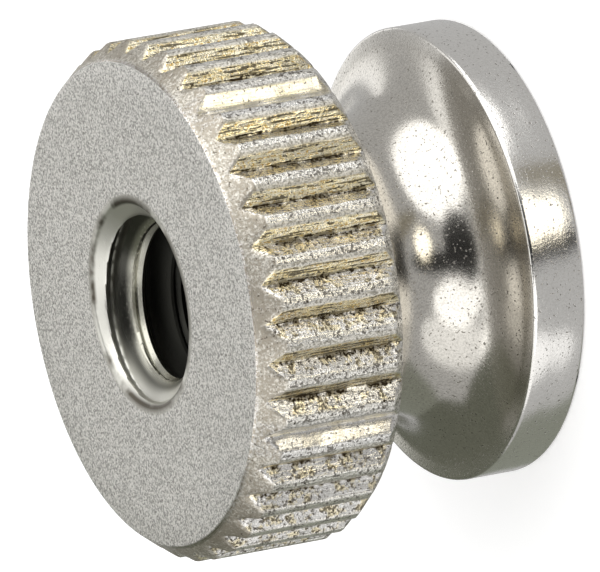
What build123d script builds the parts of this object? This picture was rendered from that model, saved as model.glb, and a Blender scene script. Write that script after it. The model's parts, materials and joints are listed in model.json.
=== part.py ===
"""Knurled thumb nut with a collar, turned from bar in one piece.

The nut stands on its collar. The origin is the centre of the collar's bearing face,
and +Z runs along the thread, out through the knurled head. Lengths are in millimetres.
"""
import os

from build123d import *

# overall
overall_height = 9.15

# knurled head, turned by the fingers
head_diameter = 12.7
head_thickness = 3.9
face_bevel_height = 0.6
face_bevel_width = 0.46
under_bevel_height = 0.31
under_bevel_width = 0.27

# straight knurl: V grooves along the axis, with a flat land left between each two
groove_count = 40
groove_width = 0.69
groove_depth = 0.29

# collar that bears on the work
collar_diameter = 11.1
collar_thickness = 1.4
collar_edge_break = 0.12

# concave waist between the head and the collar
neck_diameter = 7.25

# bore, drilled for a No. 10-24 tap and countersunk at both ends
tap_drill_diameter = 3.8
countersink_diameter = 5.0
countersink_angle = 90

# radii, heights and the knurl's angular pitch, which follow
head_radius = head_diameter / 2
collar_radius = collar_diameter / 2
neck_radius = neck_diameter / 2
head_underside = overall_height - head_thickness
waist_middle = (collar_thickness + head_underside) / 2
groove_root_radius = head_radius - groove_depth
groove_pitch = 360 / groove_count

# the cutter's V is carried a little past the knurl's crest, at the same angle
cutter_overshoot = 1.3
cutter_depth = groove_depth * cutter_overshoot
cutter_half_width = groove_width / 2 * cutter_overshoot

with BuildPart() as thumb_nut:
    # half section of the blank, turned about the thread axis
    with BuildSketch(Plane.XZ):
        with BuildLine():
            Polyline(
                (0, overall_height),
                (0, 0),
                (collar_radius, 0),
                (collar_radius, collar_thickness),
            )
            ThreePointArc(
                (collar_radius, collar_thickness),
                (neck_radius, waist_middle),
                (collar_radius, head_underside),
            )
            Polyline(
                (collar_radius, head_underside),
                (head_radius - under_bevel_width, head_underside),
                (head_radius, head_underside + under_bevel_height),
                (head_radius, overall_height - face_bevel_height),
                (head_radius - face_bevel_width, overall_height),
                (0, overall_height),
            )
        make_face()
    revolve(axis=Axis.Z)

    # both rims of the collar have their sharp edge broken
    collar_rims = (
        thumb_nut.edges()
        .filter_by(GeomType.CIRCLE)
        .filter_by_position(Axis.Z, 0, collar_thickness)
    )
    chamfer(collar_rims, length=collar_edge_break)

    # knurl grooves, which run out on both bevels of the head and leave a land on +X
    with BuildSketch(Plane.XY.offset(head_underside)):
        with PolarLocations(groove_root_radius, groove_count, start_angle=groove_pitch / 2):
            Polygon(
                (0, 0),
                (cutter_depth, -cutter_half_width),
                (cutter_depth, cutter_half_width),
                align=None,
            )
    extrude(amount=head_thickness, mode=Mode.SUBTRACT)

    # bore, countersunk from the collar's end and from the head's
    end_faces = thumb_nut.faces().filter_by(Axis.Z).sort_by(Axis.Z)
    with Locations(Plane(end_faces[0]), Plane(end_faces[-1])):
        CounterSinkHole(
            radius=tap_drill_diameter / 2,
            counter_sink_radius=countersink_diameter / 2,
            counter_sink_angle=countersink_angle,
        )

thumb_nut.part.label = "thumb_nut"

os.makedirs("parts", exist_ok=True)
export_step(thumb_nut.part, "parts/thumb_nut.step")
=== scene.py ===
import json
import math
from types import SimpleNamespace

import bmesh
import bpy
import numpy as np
from mathutils import Matrix, Quaternion, Vector


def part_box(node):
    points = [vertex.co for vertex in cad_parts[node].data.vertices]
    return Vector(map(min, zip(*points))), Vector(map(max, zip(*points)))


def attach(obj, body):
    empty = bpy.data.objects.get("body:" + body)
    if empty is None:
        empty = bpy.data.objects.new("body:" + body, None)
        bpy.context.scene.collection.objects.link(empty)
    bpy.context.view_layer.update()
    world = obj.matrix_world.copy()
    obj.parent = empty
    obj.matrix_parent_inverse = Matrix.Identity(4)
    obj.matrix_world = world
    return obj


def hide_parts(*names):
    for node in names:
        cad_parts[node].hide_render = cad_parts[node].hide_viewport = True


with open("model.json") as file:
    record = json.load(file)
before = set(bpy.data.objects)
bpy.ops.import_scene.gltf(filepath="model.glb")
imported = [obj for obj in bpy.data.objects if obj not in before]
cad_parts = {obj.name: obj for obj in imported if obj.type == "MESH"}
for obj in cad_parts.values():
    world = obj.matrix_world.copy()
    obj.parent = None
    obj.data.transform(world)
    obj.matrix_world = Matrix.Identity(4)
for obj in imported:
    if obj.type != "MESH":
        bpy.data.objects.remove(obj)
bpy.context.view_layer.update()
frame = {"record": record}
print("frame loaded")

mm = 0.001


# shader helpers

class Wire:  # an output socket that arithmetic can be done on
    def __init__(self, finish, socket):
        self.finish = finish
        self.socket = socket

    def __add__(self, other):
        return self.finish.maths("ADD", self, other)

    def __radd__(self, other):
        return self.finish.maths("ADD", other, self)

    def __sub__(self, other):
        return self.finish.maths("SUBTRACT", self, other)

    def __rsub__(self, other):
        return self.finish.maths("SUBTRACT", other, self)

    def __mul__(self, other):
        return self.finish.maths("MULTIPLY", self, other)

    def __rmul__(self, other):
        return self.finish.maths("MULTIPLY", other, self)


class Finish:  # a node tree, and the one method that adds nodes to it
    def __init__(self, owner):
        owner.use_nodes = True
        self.tree = owner.node_tree
        self.tree.nodes.clear()

    def node(self, kind, settings=None, sockets=None, output=0):
        made = self.tree.nodes.new(kind)
        for name, value in (settings or {}).items():
            setattr(made, name, value)
        for name, value in (sockets or {}).items():
            if isinstance(value, Wire):
                self.tree.links.new(value.socket, made.inputs[name])
            else:
                made.inputs[name].default_value = value
        return Wire(self, made.outputs[output]) if output is not None else None

    def maths(self, operation, first, second=0.0):
        return self.node("ShaderNodeMath", {"operation": operation}, {0: first, 1: second})

    def axes(self, place):
        return [self.node("ShaderNodeSeparateXYZ", {}, {0: place}, axis) for axis in "XYZ"]

    def attribute(self, name):
        return self.node("ShaderNodeAttribute", {"attribute_name": name}, output="Fac")

    def noise(self, place, scale, detail=3.0, roughness=0.5):
        sockets = {"Vector": place, "Scale": scale, "Detail": detail, "Roughness": roughness}
        return self.node("ShaderNodeTexNoise", {}, sockets)

    def band(self, value, low, high, bottom=0.0, top=1.0):
        # goes smoothly from bottom to top as the value goes from low to high
        settings = {"interpolation_type": "SMOOTHSTEP"}
        sockets = {"Value": value, "From Min": low, "From Max": high, "To Min": bottom, "To Max": top}
        return self.node("ShaderNodeMapRange", settings, sockets)

    def blend(self, factor, first, second, how="MIX"):
        # sockets 6 and 7 and output 2 are the ones for colours
        settings = {"data_type": "RGBA", "blend_type": how}
        return self.node("ShaderNodeMix", settings, {"Factor": factor, 6: first, 7: second}, 2)


# the nut's sizes

nutLow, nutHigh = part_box("thumb_nut")
thread = next(m for m in frame["record"]["mounts"] if m["kind"] == "threaded_hole")

nut = {
    "height": nutHigh.z,
    "headRadius": nutHigh.x,
    "headThickness": 3.9 * mm,
    "faceBevel": (0.46 * mm, 0.6 * mm),       # width across, height along the axis
    "underBevel": (0.27 * mm, 0.31 * mm),
    "collarRadius": 5.55 * mm,
    "collarThickness": 1.4 * mm,
    "neckRadius": 3.625 * mm,
    "edgeRounding": 0.05 * mm,
    "collarRounding": 0.1 * mm,
    "countersinkRadius": 2.5 * mm,
    "ringWidth": 0.2 * mm,                    # flat ring of faces round each countersink
    "sharpAngle": math.radians(32),           # edges bent more than this are shaded sharp
}

knurl = {
    "grooves": 40,
    "halfWidth": 0.345 * mm,
    "depth": 0.29 * mm,
    "depthSpread": 0.012 * mm,                # how much the grooves' depths differ
    "depthSeed": 5,
    "rounding": 0.02 * mm,                    # along a groove's edges
    "rootRounding": 0.004,                    # radians
    "unevenness": 0.012 * mm,
    "longWaves": (24, 0.5 * mm, 3 * mm, 11),  # how many, shortest, longest, seed
    "shortWaves": (40, 0.22 * mm, 0.6 * mm, 12),
    "inset": 0.1 * mm,                        # rows this far inside the roots stay round
    "wornBefore": -0.30,                      # share of the pitch, counted from a groove's middle
    "cleanGrooves": [4, 12, 18, 25, 34],      # bright ones: less grime and relief, and no painted warm reflection; the rest are dirty
}

bore = {
    "crestRadius": thread["dims"]["r_mm"] * mm,
    "rootRadius": 2.413 * mm,
    "pitch": 25.4 / 24 * mm,
    "rootFlat": 0.13 * mm,
    "crestRounding": 0.05 * mm,
    "rootRounding": 0.03 * mm,
    "seam": (0.10 * mm, 0.09 * mm),           # half width and depth of the split in a formed crest
    "lip": 0.03 * mm,                         # rounding where a countersink meets the face
    "flankSlope": math.sqrt(3),               # radial rise along the axis, for a 60 degree thread
    "rootBelowFace": 0.38 * mm,               # where a root crosses the angle below
    "rootAngle": math.radians(86.4),
}


# profiles and simple sums

def straight(start, end, rows):
    # points from start towards end in equal steps, without the end
    steps = np.linspace(0, 1, rows, endpoint=False)[:, None]
    return np.array(start) * (1 - steps) + np.array(end) * steps


def corner(before, point, after, radius, rows):
    # an arc of the given radius, tangent to both lines that meet at the point
    before, point, after = np.array(before), np.array(point), np.array(after)
    inward = (before - point) / np.linalg.norm(before - point)
    outward = (after - point) / np.linalg.norm(after - point)
    half = math.acos(float(inward @ outward)) / 2
    middle = (inward + outward) / np.linalg.norm(inward + outward)
    centre = point + middle * radius / math.sin(half)
    start = point + inward * radius / math.tan(half) - centre
    end = point + outward * radius / math.tan(half) - centre
    share = np.linspace(0, 1, rows)[:, None]
    turn = math.acos(float(start @ end) / radius ** 2)
    swung = start * np.sin((1 - share) * turn) + end * np.sin(share * turn)
    return centre + swung / math.sin(turn)


def lower(first, second, rounding):
    # the smaller of two values, with the change from one to the other rounded
    return (first + second - np.sqrt((first - second) ** 2 + rounding ** 2)) / 2


def ripple(points, waves, shortest, longest, seed):
    # a sum of plane waves in random directions, each with its own length and start,
    # so it closes round the axis
    draw = np.random.default_rng(seed)
    directions = draw.normal(size=(waves, 3))
    directions /= np.linalg.norm(directions, axis=1)[:, None]
    lengths = np.exp(draw.uniform(math.log(shortest), math.log(longest), waves))
    starts = draw.uniform(0, 2 * math.pi, waves)
    phase = points @ (directions * (2 * math.pi / lengths)[:, None]).T + starts
    return np.cos(phase).sum(-1) / math.sqrt(waves / 2)


def onAxis(radius, height, angles):
    # x and y are the radius times the cosine and sine of the angle, z is the height
    return np.stack([radius * np.cos(angles), radius * np.sin(angles), height + 0 * angles], -1)


# the outside: face, knurled rim, waist, collar and underside

def waistCurve(rows):
    # half an ellipse, hollow outwards, from the head's underside down to the collar's top
    top = nut["height"] - nut["headThickness"]
    bottom = nut["collarThickness"]
    swing = np.linspace(0, math.pi, rows)
    radius = nut["collarRadius"] - (nut["collarRadius"] - nut["neckRadius"]) * np.sin(swing)
    height = (top + bottom) / 2 + (top - bottom) / 2 * np.cos(swing)
    return np.stack([radius, height], 1)


def turnedOutline():
    # radius and height of every row, from the face's inner ring over the head and the waist
    # to the collar's underside: arcs at the corners, with straight rows between them
    top = nut["height"]
    head = nut["headRadius"]
    under = top - nut["headThickness"]
    collar = nut["collarRadius"]
    ring = nut["countersinkRadius"] + nut["ringWidth"]
    rounding = nut["edgeRounding"]
    collarRounding = nut["collarRounding"]
    faceInner = (ring, top)
    faceOuter = (head - nut["faceBevel"][0], top)
    rimTop = (head, top - nut["faceBevel"][1])
    rimBottom = (head, under + nut["underBevel"][1])
    underOuter = (head - nut["underBevel"][0], under)
    underInner = (collar, under)
    waist = waistCurve(35)[2:-2]  # its ends make room for the rounded corners
    collarTop = (collar, nut["collarThickness"])
    collarBottom = (collar, 0)
    undersideInner = (ring, 0)
    # each arc, and how many straight rows follow it
    stretches = [
        (corner(faceInner, faceOuter, rimTop, rounding, 4), 12),
        (corner(faceOuter, rimTop, rimBottom, rounding, 4), 18),
        (corner(rimTop, rimBottom, underOuter, rounding, 3), 5),
        (corner(rimBottom, underOuter, underInner, rounding, 3), 2),
        (corner(underOuter, underInner, waist[0], rounding, 3), 1),
        (waist, 1),
        (corner(waist[-1], collarTop, collarBottom, collarRounding, 6), 3),
        (corner(collarTop, collarBottom, undersideInner, collarRounding, 6), 3),
    ]
    starts = [arc[0] for arc, rows in stretches]
    pieces = [straight(faceInner, starts[0], 4)]
    for (arc, rows), end in zip(stretches, starts[1:] + [undersideInner]):
        pieces.append(arc[:-1])
        pieces.append(straight(arc[-1], end, rows))
    pieces.append(np.array([undersideInner]))
    return np.concatenate(pieces)


def knurlAngles():
    # column angles: each groove gets the same uneven set, in shares of the pitch from its
    # middle, close together at its edges and root
    offsets = np.array([-0.5, -0.40, -0.362, -0.336, -0.27, -0.14, -0.04,
                        0, 0.04, 0.14, 0.27, 0.336, 0.362, 0.40])
    pitch = 2 * math.pi / knurl["grooves"]
    centres = np.arange(knurl["grooves"]) + 0.5
    angles = ((centres[:, None] + offsets) * pitch).ravel()
    return angles, np.tile(offsets * pitch, knurl["grooves"])


def outerSurface():
    # the turned outline carried round the axis; a V groove limits the radius to that of its
    # root, divided by the cosine less the slope times the sine of the angle from its middle
    outline = turnedOutline()
    angles, offAngles = knurlAngles()
    slope = knurl["depth"] / knurl["halfWidth"]
    root = nut["headRadius"] - knurl["depth"]
    soft = knurl["rootRounding"]
    sine = np.sqrt(np.sin(offAngles) ** 2 + soft ** 2) - soft
    wall = root / (np.cos(offAngles) - slope * sine)
    turned = outline[:, 0][:, None]
    radius = turned + 0 * angles
    height = outline[:, 1][:, None] + 0 * angles
    place = onAxis(radius, height, angles)
    coarse = ripple(place, *knurl["longWaves"])
    fine = ripple(place, *knurl["shortWaves"])
    rough = knurl["unevenness"] * (0.6 * coarse + 0.5 * fine)
    grooveNumber = np.repeat(np.arange(knurl["grooves"]), len(angles) // knurl["grooves"])
    draw = np.random.default_rng(knurl["depthSeed"]).normal(size=knurl["grooves"])
    wall = wall + knurl["depthSpread"] * draw[grooveNumber]
    cut = lower(radius, wall + rough, knurl["rounding"])
    radius = np.where(turned > root - knurl["inset"], cut, radius)
    sunk = np.clip((turned - radius) / knurl["depth"], 0, 1)
    share = offAngles * knurl["grooves"] / (2 * math.pi)
    fields = {
        "sunk": sunk,                         # 0 on a land, 1 at a root
        "side": np.sign(offAngles) * sunk,    # above 0 on the leading flanks
        "worn": (share < knurl["wornBefore"]) + 0 * sunk,
        "clean": np.isin(grooveNumber, knurl["cleanGrooves"]) + 0 * sunk,
    }
    return angles, radius, height, fields


# the bore: a countersink at each end and a right-handed thread between them

def threadRadius(height, angle):
    # flat roots joined by straight flanks to crests with a shallow V seam,
    # climbing one pitch each turn
    rise = bore["pitch"] * (angle - bore["rootAngle"]) / (2 * math.pi)
    fromRoot = height - (nut["height"] - bore["rootBelowFace"] + rise)
    turns = fromRoot / bore["pitch"]
    away = np.abs(turns - np.round(turns)) * bore["pitch"]
    flank = bore["rootRadius"] - (away - bore["rootFlat"] / 2) * bore["flankSlope"]
    seamHalf, seamDepth = bore["seam"]
    seam = np.clip(1 - (bore["pitch"] / 2 - away) / seamHalf, 0, 1) * seamDepth
    crest = -lower(-flank, -bore["crestRadius"] - seam, bore["crestRounding"])
    return lower(crest, bore["rootRadius"], bore["rootRounding"])


def boreRows(angles):
    # heights of the bore's rows: level in the countersinks, along the helix between them,
    # where marks is the number of rows in one turn of the thread
    cone = (nut["countersinkRadius"] - bore["crestRadius"]) / mm + 0.06
    low = np.array([0, 0.012, 0.035, 0.07, *np.linspace(0.12, cone, 10)]) * mm
    deep = np.array([0, 0.012, 0.035, 0.07, *np.linspace(0.1, cone, 21)]) * mm
    high = nut["height"] - deep[::-1]
    flank = (bore["rootRadius"] - bore["crestRadius"]) / bore["flankSlope"]
    steps = bore["rootFlat"] / 2 + flank * np.array([0, 0.4, 0.75, 1.0])
    split = bore["pitch"] / 2 + bore["seam"][0] * np.array([-1, -0.5, 0, 0.5, 1])
    marks = np.concatenate([-steps[::-1], steps, split])
    turns = np.arange(-11, 2)[:, None]  # more than the bore holds, so that both ends are reached
    roots = nut["height"] - bore["rootBelowFace"] + turns * bore["pitch"] + marks
    climb = bore["pitch"] * (angles - bore["rootAngle"]) / (2 * math.pi)
    helix = np.clip(roots.ravel()[:, None] + climb, low[-1], high[0])
    level = 0 * angles
    return low[:, None] + level, helix, high[:, None] + level, len(marks)


def boreSurface(angles):
    # the larger of the thread's radius and the countersinks' radius, row by row,
    # with the change from one to the other rounded
    low, helix, high, marks = boreRows(angles)
    height = np.concatenate([low, helix, high])
    depth = np.minimum(height, nut["height"] - height)
    lip = bore["lip"] * np.clip(1 - depth / bore["lip"], 0, 1) ** 2
    cone = nut["countersinkRadius"] - depth + lip
    radius = -lower(-threadRadius(height, angles), -cone, bore["rootRounding"])
    return radius, height, len(low), len(helix), marks


# faces

def gridFaces(rows, columns):
    # quads between neighbouring rows and columns, closed round the axis
    row, column = np.meshgrid(np.arange(rows - 1), np.arange(columns), indexing="ij")
    beside = (column + 1) % columns
    quads = [row * columns + column, (row + 1) * columns + column,
             (row + 1) * columns + beside, row * columns + beside]
    return np.stack(quads, -1)


def boreFaces(rows, columns, lowRows, helixRows, marks):
    # as gridFaces, but at the seam a helix row meets the row one turn further up
    faces = gridFaces(rows, columns)
    first, last = lowRows, lowRows + helixRows

    def oneTurnOn(row):
        inHelix = (row >= first) & (row < last)
        return np.where(inHelix, np.minimum(row + marks, last - 1), row)

    start = np.arange(rows - 1)
    faces[:, -1, 2] = oneTurnOn(start + 1) * columns
    faces[:, -1, 3] = oneTurnOn(start) * columns
    return faces


def ringFaces(columns, outerLow, boreLow, boreHigh):
    # flat rings at both ends, where two outer columns meet one of the bore's;
    # the outer surface starts at the face, and ends outerLow points later
    first, second = np.arange(columns).reshape(-1, 2).T
    after = (second + 1) % columns
    column = np.arange(columns // 2)
    beside = (column + 1) % len(column)
    low, lowBeside = boreLow + column, boreLow + beside
    high, highBeside = boreHigh + column, boreHigh + beside
    triangles = [
        (first + outerLow, low, second + outerLow),
        (second + outerLow, low, lowBeside),
        (second + outerLow, lowBeside, after + outerLow),
        (high, first, second),
        (high, second, highBeside),
        (highBeside, second, after),
    ]
    return np.concatenate([np.stack(corners, 1) for corners in triangles])


def meshObject(name, points, quads, triangles):
    mesh = bpy.data.meshes.new(name)
    mesh.from_pydata(points.tolist(), [], quads.tolist() + triangles.tolist())
    made = bpy.data.objects.new(name, mesh)
    bpy.context.scene.collection.objects.link(made)
    return made


def mergeRows(mesh):
    # rows that the countersinks hold back lie on each other and become one
    work = bmesh.new()
    work.from_mesh(mesh)
    bmesh.ops.remove_doubles(work, verts=work.verts, dist=1e-7)
    bmesh.ops.dissolve_degenerate(work, edges=work.edges, dist=1e-8)
    work.to_mesh(mesh)
    work.free()
    mesh.update()


def makeNut():
    angles, radius, height, fields = outerSurface()
    rows, columns = radius.shape
    boreAngles = angles[::2]
    boreRadius, boreHeight, lowRows, helixRows, marks = boreSurface(boreAngles)
    boreCount, boreColumns = boreRadius.shape
    outer = onAxis(radius, height, angles).reshape(-1, 3)
    inner = onAxis(boreRadius, boreHeight, boreAngles).reshape(-1, 3)
    boreLow = len(outer)
    boreHigh = boreLow + (boreCount - 1) * boreColumns
    outerQuads = gridFaces(rows, columns).reshape(-1, 4)
    innerQuads = boreFaces(boreCount, boreColumns, lowRows, helixRows, marks).reshape(-1, 4)
    quads = np.concatenate([outerQuads, innerQuads + boreLow])
    rings = ringFaces(columns, (rows - 1) * columns, boreLow, boreHigh)
    made = meshObject("nut_surface", np.concatenate([outer, inner]), quads, rings)
    # attributes that the finish reads
    mesh = made.data
    fields["inBore"] = 0 * radius
    for name, values in fields.items():
        inside = np.full(len(inner), float(name == "inBore"))
        values = np.concatenate([values.ravel(), inside])
        mesh.attributes.new(name, "FLOAT", "POINT").data.foreach_set("value", values)
    mergeRows(mesh)
    mesh.shade_smooth()
    mesh.set_sharp_from_angle(angle=nut["sharpAngle"])
    return made


nutPiece = makeNut()
print("nut made,", len(nutPiece.data.polygons), "faces")


# nickel plate over brass

plate = {
    "plateColour": (0.82, 0.80, 0.765, 1),
    "waistShade": (0.80, 0.785, 0.75, 1),      # painted shade: multiplies the plate in the waist, the hollow between head and collar
    "dullColour": (0.30, 0.29, 0.27, 1),      # the fine dark grain of the turned faces
    "brassColour": (0.98, 0.85, 0.52, 1),     # where the plate is thin; on the leading flanks also a painted warm reflection
    "goldColour": (0.66, 0.46, 0.15, 1),      # bare brass, tarnished, on the leading flanks, where it is also a painted warm reflection
    "paleHighlightColour": (1.0, 0.93, 0.70, 1),       # painted highlight: pale yellow glints on the leading flanks
    "brightColour": (1.0, 0.99, 0.96, 1),     # scuffed tops of the teeth
    "grimeColour": (0.055, 0.04, 0.022, 1),   # left between the knurl's teeth
    "bevelColour": (0.40, 0.36, 0.295, 1),
    "coneColour": (0.72, 0.71, 0.65, 1),
    "boreColour": (0.50, 0.49, 0.42, 1),      # the thread, which the plating hardly reaches
    # painted shade deep in the bore and in the thread's roots
    "boreShadeColour": (0.03, 0.03, 0.026, 1),
    "faceRoughness": 0.46,
    "waistRoughness": 0.18,
    "collarRoughness": 0.17,
    "landRoughness": 0.48,
    "flankRoughness": 0.24,
    "coneRoughness": 0.38,
    "boreRoughness": 0.20,
}

# how often each pattern repeats in a metre
patternScale = {
    "cloud": 700,
    "patches": 3200,
    "rings": 0.5 / (0.06 * mm),
    "crumbs": 12000,
    "pits": 14000,
    "streaks": 15000,
    "grain": 1 / (0.055 * mm),
    "scratches": 21000,
}

# how high each pattern stands in the bump
reliefHeight = {
    "grain": 0.0022 * mm,
    "mattGrain": 0.008 * mm,                  # added on the face and the lands
    "rings": 0.0006 * mm,
    "streaks": 0.017 * mm,
    "crumbs": 0.011 * mm,
    "patches": 0.004 * mm,
    "bevelCrumbs": 0.004 * mm,
    "pits": 0.002 * mm,
}


def nutZones(finish, place):
    # masks, 1 on one part of the nut and 0 elsewhere, and the measures they come from
    zone = SimpleNamespace()
    x, y, z = finish.axes(place)
    top = nut["height"]
    under = top - nut["headThickness"]
    collarTop = nut["collarThickness"]
    bevelLow = top - nut["faceBevel"][1]
    blur = 0.05 * mm
    zone.height = z
    zone.fromEnd = finish.maths("MINIMUM", z, top - z)
    zone.radius = finish.maths("SQRT", x * x + y * y)
    zone.angle = finish.maths("ARCTAN2", y, x)
    zone.sunk = finish.attribute("sunk")
    zone.worn = finish.attribute("worn")
    zone.clean = finish.attribute("clean")
    zone.bore = finish.attribute("inBore")
    outside = 1 - zone.bore
    head = finish.band(z, under - blur, under + blur) * outside
    zone.face = finish.band(z, top - 0.02 * mm, top - 0.005 * mm) * outside
    zone.waist = finish.band(z, collarTop - blur, collarTop + blur) * (1 - head) * outside
    rimEdge = nut["headRadius"] - nut["faceBevel"][0]
    zone.rim = finish.band(zone.radius, rimEdge + 0.01 * mm, rimEdge + 0.1 * mm) * head
    zone.flank = finish.band(zone.sunk, 0.05, 0.22) * zone.rim
    zone.leading = finish.band(finish.attribute("side"), 0.0, 0.25) * zone.flank
    zone.trailing = zone.flank - zone.leading
    zone.land = zone.rim - zone.flank
    slope = finish.band(z, bevelLow - 2 * blur, bevelLow) * (1 - zone.face) * outside
    zone.bevel = slope * (1 - zone.flank)
    zone.landBelow = zone.land * (1 - slope)
    zone.deep = finish.band(zone.fromEnd, 0.8 * mm, 1.6 * mm, 0.0, 0.97)
    return zone


def platePatterns(finish, place, zone):
    # grain, clouds, streaks drawn along the knurl, pits, and rings left by turning
    pattern = SimpleNamespace()
    drawn = finish.node("ShaderNodeMapping", {}, {"Vector": place, "Scale": (1.0, 1.0, 0.08)})
    # the rings hardly change with the angle
    ringPlace = {0: zone.radius, 1: zone.height, 2: zone.angle * 0.12 * mm}
    turned = finish.node("ShaderNodeCombineXYZ", {}, ringPlace)
    pattern.grain = finish.noise(place, patternScale["grain"], 2.0, 0.7)
    pattern.cloud = finish.noise(place, patternScale["cloud"], 4.0, 0.55)
    pattern.streaks = finish.noise(drawn, patternScale["streaks"], 2.5, 0.6)
    pattern.scratches = finish.noise(drawn, patternScale["scratches"], 2.0, 0.6)
    pattern.patches = finish.noise(place, patternScale["patches"], 3.0, 0.6)
    pattern.crumbs = finish.noise(place, patternScale["crumbs"], 2.0, 0.7)
    pits = finish.noise(place, patternScale["pits"], 1.0, 0.5)
    pattern.pits = finish.band(pits, 0.655, 0.71)
    pattern.rings = finish.noise(turned, patternScale["rings"], 2.0, 0.5)
    # the half of each land that is rubbed bright
    edge = zone.worn + (pattern.patches - 0.5) * 2.5
    pattern.rubbed = finish.band(edge, 0.35, 0.65) * zone.landBelow
    return pattern


def plateGrime(finish, zone, pattern):
    # along the leading flanks, at the roots, in crumbs on the rest, and in pits all over
    streaked = finish.band(pattern.streaks * 0.7 + pattern.crumbs * 0.3, 0.51, 0.56)
    patchy = finish.band(pattern.patches, 0.42, 0.52)
    crumbly = finish.band(pattern.crumbs * 0.7 + pattern.patches * 0.3, 0.51, 0.57)
    grime = zone.leading * streaked * 0.86
    grime = grime + finish.band(zone.sunk, 0.80, 0.95) * patchy * zone.rim * 0.7
    grime = grime + (zone.trailing + pattern.rubbed) * crumbly * 0.80
    return grime * (1 - zone.clean * zone.flank * 0.8) + pattern.pits * 0.6 * (1 - zone.bore)


def plateColour(finish, zone, pattern, grime):
    # plate, worn through to brass on the knurl, with a painted warm reflection and painted highlights
    # on the leading flanks
    dullness = 0.14 + 0.18 * zone.waist + 0.76 * zone.face + 0.86 * (zone.land - pattern.rubbed)
    dull = finish.band(pattern.grain, 0.36, 0.60, 1, 0) * dullness
    colour = finish.blend(dull, plate["plateColour"], plate["dullColour"])
    # painted shade: the waist's colour is darkened
    colour = finish.blend(zone.waist, colour, plate["waistShade"], "MULTIPLY")
    scuffed = pattern.rubbed * finish.band(pattern.crumbs, 0.42, 0.5)
    colour = finish.blend(scuffed, colour, plate["brightColour"])
    # brass and gold on the leading flanks: partly brass under the plate, partly a painted warm
    # reflection
    thinAndSheen = finish.band(pattern.streaks * 0.65 + pattern.patches * 0.35, 0.43, 0.52, 0.40, 1.0)
    brass = zone.leading * thinAndSheen + zone.land * 0.12
    brass = brass + zone.trailing * finish.band(pattern.patches, 0.48, 0.60, 0.0, 0.65)
    colour = finish.blend(brass * (1 - zone.clean * 0.75), colour, plate["brassColour"])
    bareAndSheen = finish.band(pattern.streaks * 0.5 + pattern.crumbs * 0.5, 0.40, 0.47, 0.9, 0.0)
    gold = zone.leading * bareAndSheen * (1 - zone.clean)
    colour = finish.blend(gold, colour, plate["goldColour"])
    stained = finish.band(pattern.cloud * 0.4 + pattern.crumbs * 0.6, 0.42, 0.56, 0.15, 0.95)
    colour = finish.blend(zone.bevel * stained, colour, plate["bevelColour"])
    # painted highlight: pale streaks along the leading flanks
    paintedGlints = finish.band(pattern.scratches * 0.7 + pattern.crumbs * 0.3, 0.495, 0.545) * 0.9
    colour = finish.blend(zone.leading * paintedGlints, colour, plate["paleHighlightColour"])
    return finish.blend(grime, colour, plate["grimeColour"])


def boreColour(finish, zone, pattern, colour):
    # countersinks, then the thread, with painted shade in its roots and deep in the bore
    colour = finish.blend(zone.bore, colour, plate["coneColour"])
    inThread = finish.band(zone.fromEnd, 0.25 * mm, 0.5 * mm)
    colour = finish.blend(zone.bore * inThread, colour, plate["boreColour"])
    lip = finish.band(zone.fromEnd, 0.02 * mm, 0.09 * mm, 0.9, 0.0)
    lip = lip * finish.band(pattern.cloud, 0.40, 0.55)
    colour = finish.blend(zone.bore * lip, colour, plate["grimeColour"])
    crest = bore["crestRadius"]
    roots = finish.band(zone.radius, crest + 0.05 * mm, crest + 0.22 * mm)
    roots = roots * finish.band(zone.fromEnd, 0.28 * mm, 0.5 * mm, 0.0, 0.85)
    paintedShade = finish.maths("MAXIMUM", zone.deep, roots)
    return finish.blend(zone.bore * paintedShade, colour, plate["boreShadeColour"])


def plateRoughness(finish, zone, pattern, grime):
    # the collar's roughness, with what each other place adds to it
    collar = plate["collarRoughness"]
    cone, screw = plate["coneRoughness"], plate["boreRoughness"]
    inBore = finish.band(zone.fromEnd, 0.3 * mm, 0.7 * mm, cone, screw) + zone.deep * 0.3
    roughness = collar + (plate["waistRoughness"] - collar) * zone.waist
    roughness = roughness + (plate["faceRoughness"] - collar) * zone.face
    roughness = roughness + (plate["landRoughness"] - collar) * (zone.land - pattern.rubbed * 0.8)
    roughness = roughness + (plate["flankRoughness"] - collar) * zone.flank
    roughness = roughness + (inBore - collar) * zone.bore
    return roughness + (pattern.cloud - 0.5) * 0.10 + grime * 0.3


def plateRelief(finish, zone, pattern):
    # heights in metres
    matt = zone.face + zone.land
    rough = (zone.flank + pattern.rubbed) * (1 - zone.clean * 0.8)
    tall = reliefHeight
    height = pattern.grain * (tall["grain"] + tall["mattGrain"] * matt)
    height = height + pattern.rings * tall["rings"] * (1 - zone.rim)
    height = height + (pattern.streaks * tall["streaks"] + pattern.crumbs * tall["crumbs"]) * rough
    height = height + pattern.patches * tall["patches"] * zone.rim
    height = height + pattern.crumbs * tall["bevelCrumbs"] * zone.bevel
    height = height - pattern.pits * tall["pits"]
    return finish.node("ShaderNodeBump", {}, {"Height": height, "Strength": 1.0, "Distance": 1.0})


def nickelFinish():
    material = bpy.data.materials.new("nickel_plate_finish")
    finish = Finish(material)
    place = finish.node("ShaderNodeTexCoord", output="Object")
    zone = nutZones(finish, place)
    pattern = platePatterns(finish, place, zone)
    grime = plateGrime(finish, zone, pattern)
    colour = plateColour(finish, zone, pattern, grime)
    shader = finish.node("ShaderNodeBsdfPrincipled", {}, {
        "Base Color": boreColour(finish, zone, pattern, colour),
        "Metallic": 1.0,
        "Roughness": plateRoughness(finish, zone, pattern, grime),
        "Normal": plateRelief(finish, zone, pattern),
    })
    finish.node("ShaderNodeOutputMaterial", {}, {"Surface": shader}, None)
    return material


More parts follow.
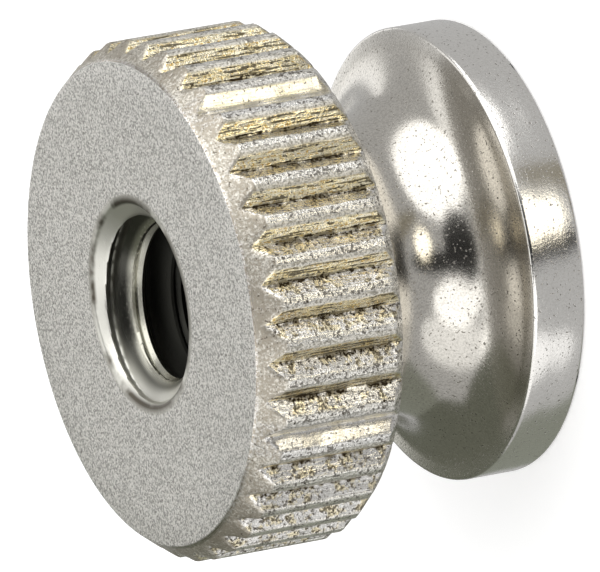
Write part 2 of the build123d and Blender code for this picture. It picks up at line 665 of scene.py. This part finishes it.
nutPiece.data.materials.append(nickelFinish())
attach(nutPiece, "root")
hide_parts("thumb_nut")
print("finish made")


# camera

bpy.context.scene.view_settings.view_transform = "Standard"
centre = Vector((0, 0, nut["height"] / 2))

shot = {
    "azimuth": -3.64,
    "elevation": 26.49,
    "roll": -100.07,
    "aimRight": -0.186 * mm,
    "aimUp": -0.269 * mm,
    "distance": 402 * mm,
    "lens": 1000,
}


def makeCamera():
    azimuth = math.radians(shot["azimuth"])
    elevation = math.radians(shot["elevation"])
    level = math.cos(elevation)
    back = Vector((math.sin(azimuth) * level, -math.cos(azimuth) * level, math.sin(elevation)))
    roll = Quaternion((0, 0, 1), math.radians(shot["roll"]))
    turn = (-back).to_track_quat("-Z", "Y") @ roll
    aim = centre + turn @ Vector((shot["aimRight"], shot["aimUp"], 0))
    data = bpy.data.cameras.new("camera")
    data.lens = shot["lens"]
    data.sensor_width = 36
    data.clip_start = 0.01
    data.clip_end = 100
    camera = bpy.data.objects.new("camera", data)
    camera.rotation_mode = "QUATERNION"
    camera.rotation_quaternion = turn
    camera.location = aim + back * shot["distance"]
    bpy.context.scene.collection.objects.link(camera)
    bpy.context.scene.camera = camera
    return turn


cameraTurn = makeCamera()
print("camera made")


# floor, world, lamps and cards

white = (1, 1, 1)
warm = (1, 0.93, 0.76)
amber = (1, 0.92, 0.72)
olive = (0.95, 1, 0.8)
paleOlive = (0.95, 1, 0.85)

studio = {
    "worldLevel": 0.52,
    "floorSize": 2.0,
    "floorColour": (0.97, 0.97, 0.97, 1),
    "floorLift": (0.14, 0.14, 0.14, 1),
    "distance": 300 * mm,
    # direction from the nut as right, up and near in the view, width and height in degrees,
    # tilt, level and colour
    "lamps": {
        "overhead_lamp": ((-0.94, -0.18, 0.26), 88, 98, 0, 0.80, white),
        "top_softbox": ((-0.18, 0.83, 0.52), 78, 76, 0, 1.6, white),
        "side_lamp": ((0.68, 0.24, 0.68), 24, 22, 8, 2.3, warm),
        "table_glow": ((0.14, -0.55, 0.81), 68, 34, 0, 1.35, white),
        "low_glow": ((0.16, -0.86, 0.37), 84, 38, 16, 0.70, white),
        "side_strip": ((-0.60, 0.10, -0.79), 18, 56, 8, 0.8, white),
    },
    # cards that only the metal mirrors
    "cards": {
        "camera_card": ((-0.10, -0.03, 1.0), 44, 52, 0, 0.02, white),
        "low_card": ((0.52, -0.03, 0.84), 76, 16, 12, 0.02, white),
        "right_card": ((0.88, 0.44, 0.18), 64, 14, -27, 0.30, amber),
        "above_card": ((-0.93, -0.17, 0.27), 30, 56, 0, 0.02, white),
        "left_card": ((-0.67, -0.74, -0.02), 46, 40, 0, 0.16, olive),
        "far_card": ((-0.52, -0.55, -0.65), 70, 56, 55, 0.16, olive),
        "table_card": ((0.35, -0.60, -0.70), 70, 56, -39, 0.27, paleOlive),
    },
    "boreCardSize": 8 * mm,
    "boreCardDrop": 0.1 * mm,                 # below the nut
    "boreCardLevel": 0.01,
}


def plain(name, colour, level):
    # a surface that only glows, at the level given
    material = bpy.data.materials.new(name)
    finish = Finish(material)
    glow = finish.node("ShaderNodeEmission", {}, {"Color": (*colour, 1), "Strength": level})
    finish.node("ShaderNodeOutputMaterial", {}, {"Surface": glow}, None)
    return material


def onlyMirrored(made):
    made.visible_camera = False
    made.visible_diffuse = False
    made.visible_shadow = False


def makeFloor():
    material = bpy.data.materials.new("floor_white")
    finish = Finish(material)
    # a lift that is seen but lights nothing makes the floor white, and keeps the nut's shadow
    rays = ("Is Camera Ray", "Is Glossy Ray", "Is Transmission Ray")
    seen = sum(finish.node("ShaderNodeLightPath", output=ray) for ray in rays)
    shader = finish.node("ShaderNodeBsdfPrincipled", {}, {
        "Base Color": studio["floorColour"],
        "Roughness": 0.9,
        "Emission Color": finish.blend(seen, (0, 0, 0, 1), studio["floorLift"]),
        "Emission Strength": 1.0,
    })
    finish.node("ShaderNodeOutputMaterial", {}, {"Surface": shader}, None)
    bpy.ops.mesh.primitive_plane_add(size=studio["floorSize"], location=(0, 0, 0))
    floor = bpy.context.object
    floor.name = "floor"
    floor.data.materials.append(material)
    # the metal mirrors the studio round it, not the floor
    floor.visible_glossy = False


def makeWorld():
    world = bpy.data.worlds.new("studio")
    bpy.context.scene.world = world
    finish = Finish(world)
    sockets = {"Color": (*white, 1), "Strength": studio["worldLevel"]}
    light = finish.node("ShaderNodeBackground", {}, sockets)
    finish.node("ShaderNodeOutputWorld", {}, {"Surface": light}, None)


def facing(made, direction, tilt):
    # puts a lamp or card off in that direction of the view and turns it to the nut,
    # with its height along the view's up
    away = Vector(direction).normalized()
    sideways = Vector((0, 1, 0)).cross(away).normalized()
    turn = Matrix((sideways, away.cross(sideways), away)).transposed().to_quaternion()
    made.location = centre + cameraTurn @ away * studio["distance"]
    made.rotation_mode = "QUATERNION"
    made.rotation_quaternion = cameraTurn @ turn @ Quaternion((0, 0, 1), math.radians(tilt))


def across(degrees):
    # how wide a lamp or card is that looks this many degrees wide from the nut
    return 2 * studio["distance"] * math.tan(math.radians(degrees) / 2)


def makeLamps():
    # the energy gives a lamp's face the level in the list
    for name, (direction, wide, high, tilt, level, colour) in studio["lamps"].items():
        data = bpy.data.lights.new(name, "AREA")
        data.shape = "ELLIPSE"
        data.size = across(wide)
        data.size_y = across(high)
        data.energy = math.pi * level * math.pi / 4 * data.size * data.size_y
        data.color = colour
        lamp = bpy.data.objects.new(name, data)
        bpy.context.scene.collection.objects.link(lamp)
        facing(lamp, direction, tilt)


def makeCards():
    for name, (direction, wide, high, tilt, level, colour) in studio["cards"].items():
        bpy.ops.mesh.primitive_circle_add(vertices=96, radius=0.5, fill_type="NGON")
        card = bpy.context.object
        card.name = name
        card.scale = (across(wide), across(high), 1)
        card.data.materials.append(plain(name, colour, level))
        facing(card, direction, tilt)
        onlyMirrored(card)


def makeBoreShadeCard():
    # painted shade: a dark sheet under the nut, seen only in reflections, so the bore is dark at its
    # lower end, where the nut covers the floor
    place = (0, 0, -studio["boreCardDrop"])
    bpy.ops.mesh.primitive_plane_add(size=studio["boreCardSize"], location=place)
    card = bpy.context.object
    card.name = "bore_shade_card"
    card.data.materials.append(plain(card.name, white, studio["boreCardLevel"]))
    onlyMirrored(card)


makeFloor()
makeWorld()
makeLamps()
makeCards()
makeBoreShadeCard()
print("stage made")
